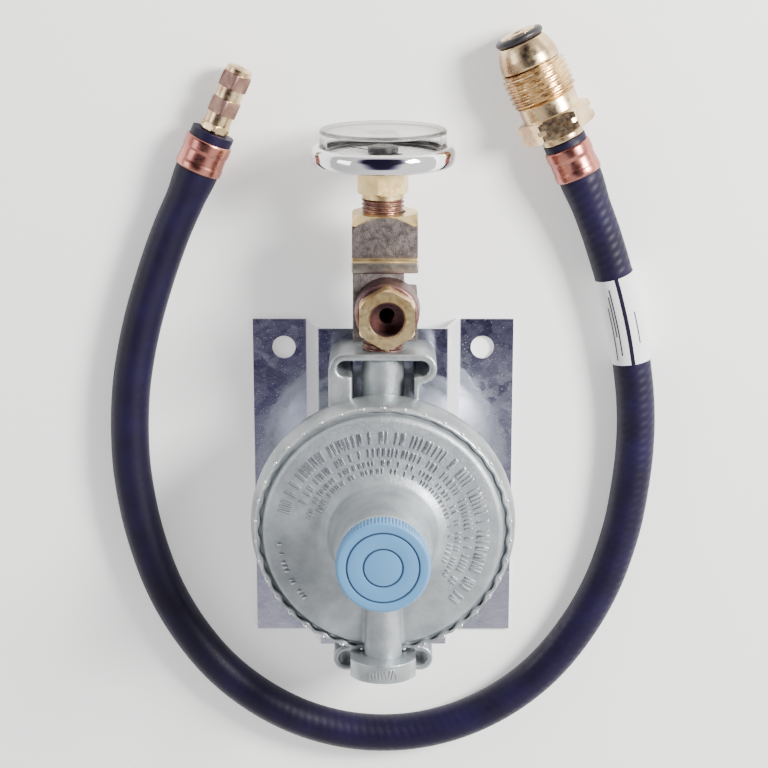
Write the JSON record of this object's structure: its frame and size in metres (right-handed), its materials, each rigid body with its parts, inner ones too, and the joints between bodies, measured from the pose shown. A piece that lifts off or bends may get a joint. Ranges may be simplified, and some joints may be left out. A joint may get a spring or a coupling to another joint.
{
  "type": "propane regulator hose kit",
  "caption": "Bracket-mounted low-pressure gas regulator with a brass inlet tee and pressure gauge, and a loose pigtail hose with a threaded cylinder nut and a small male fitting.",
  "frame": {"origin": "midpoint of the two bracket mounting holes, on the bracket's back plane", "axes": "+Z away from the back plane, +Y from the regulator towards the gauge, +X completes a right-handed frame"},
  "size_m": [0.1887, 0.2597, 0.0816],
  "materials": {
    "galvanised": "galvanised sheet, fairly bright",
    "steel": "plain bright steel",
    "zinc": "die-cast zinc alloy, matte",
    "rubber": "black moulded rubber",
    "hose_rubber": "dark hose cover with a satin sheen",
    "blue_plastic": "pale steel-blue moulding, satin",
    "white_plastic": "white moulding",
    "brass": "machined and forged brass",
    "copper": "copper-coloured plating",
    "chrome": "polished",
    "clear": "clear moulding",
    "white_paint": "white face",
    "black_paint": "black",
    "label": "printed label"
  },
  "bodies": {
    "regulator": {"bracket": "galvanised", "bracket_screws": "steel", "lower_body": "zinc", "diaphragm": "rubber", "bonnet": "zinc", "vent_screen": "steel", "main_spring": "steel", "lever_pin": "steel", "inlet_nozzle": "brass", "tee_body": "brass", "gauge_stem": "brass", "gauge_case": "steel", "gauge_bezel": "chrome", "gauge_dial": "white_paint", "gauge_lens": "clear", "lens_gasket": "rubber", "bourdon_coil": "brass"},
    "seat": {"spring_seat": "steel"},
    "screw": {"adjusting_screw": "white_plastic"},
    "seal": {"cap_seal": "rubber"},
    "cap": {"adjuster_cap": "blue_plastic"},
    "plate": {"diaphragm_plate": "steel", "diaphragm_post": "brass", "relief_spring": "steel", "relief_nut": "brass"},
    "lever": {"lever": "steel"},
    "valve": {"valve_holder": "brass", "seat_disc": "rubber"},
    "pointer": {"gauge_pointer": "black_paint", "gauge_spindle": "brass"},
    "pigtail": {"hose": "hose_rubber", "hose_label": "label", "inlet_end_ferrule": "copper", "outlet_end_ferrule": "copper", "cylinder_nipple": "brass", "nipple_o_ring": "rubber", "male_fitting": "brass"},
    "nut": {"cylinder_nut": "brass"}
  },
  "joints": [
    {"name": "seat_slide", "type": "slide", "parent": "regulator", "child": "seat", "axis": [0, 0, 1], "range_m": [-0.006, 0.003], "deforming": ["main_spring"]},
    {"name": "screw_turn", "type": "hinge", "parent": "seat", "child": "screw", "pos_m": [0, -0.052, 0.066], "axis": [0, 0, 1], "range_deg": [-1440, 720]},
    {"name": "cap_lift", "type": "slide", "parent": "regulator", "child": "seal", "axis": [0, 0, 1], "range_m": [0, 0.005]},
    {"name": "cap_turn", "type": "hinge", "parent": "seal", "child": "cap", "pos_m": [0, -0.052, 0.075], "axis": [0, 0, 1], "range_deg": [0, 900]},
    {"name": "diaphragm_slide", "type": "slide", "parent": "regulator", "child": "plate", "axis": [0, 0, 1], "range_m": [-0.0003, 0.0009], "stiffness_N_per_m": 300, "deforming": ["diaphragm"]},
    {"name": "lever_pivot", "type": "hinge", "parent": "regulator", "child": "lever", "pos_m": [0, -0.034, 0.0225], "axis": [1, 0, 0], "range_deg": [-3, 1.2]},
    {"name": "valve_slide", "type": "slide", "parent": "regulator", "child": "valve", "axis": [0, 1, 0], "range_m": [-0.0001, 0.0003]},
    {"name": "pointer_turn", "type": "hinge", "parent": "regulator", "child": "pointer", "pos_m": [0, 0.0717, 0.028], "axis": [0, 1, 0], "range_deg": [0, 270], "stiffness_Nm_per_rad": 0.0001},
    {"name": "hose_lift", "type": "slide", "parent": "regulator", "child": "pigtail", "axis": [0, 0, 1], "range_m": [0, 0.09]},
    {"name": "nut_spin", "type": "hinge", "parent": "pigtail", "child": "nut", "pos_m": [0.061, 0.0715, 0.0111], "axis": [-0.4163, 0.9092, 0], "continuous": true}
  ],
  "couplings": [
    {"joint": "screw_turn", "follows": "seat_slide", "rad_per_m": 4188.8},
    {"joint": "cap_turn", "follows": "cap_lift", "rad_per_m": 3141.6},
    {"joint": "lever_pivot", "follows": "diaphragm_slide", "rad_per_m": -55.556},
    {"joint": "valve_slide", "follows": "diaphragm_slide", "ratio": 0.30556}
  ]
}
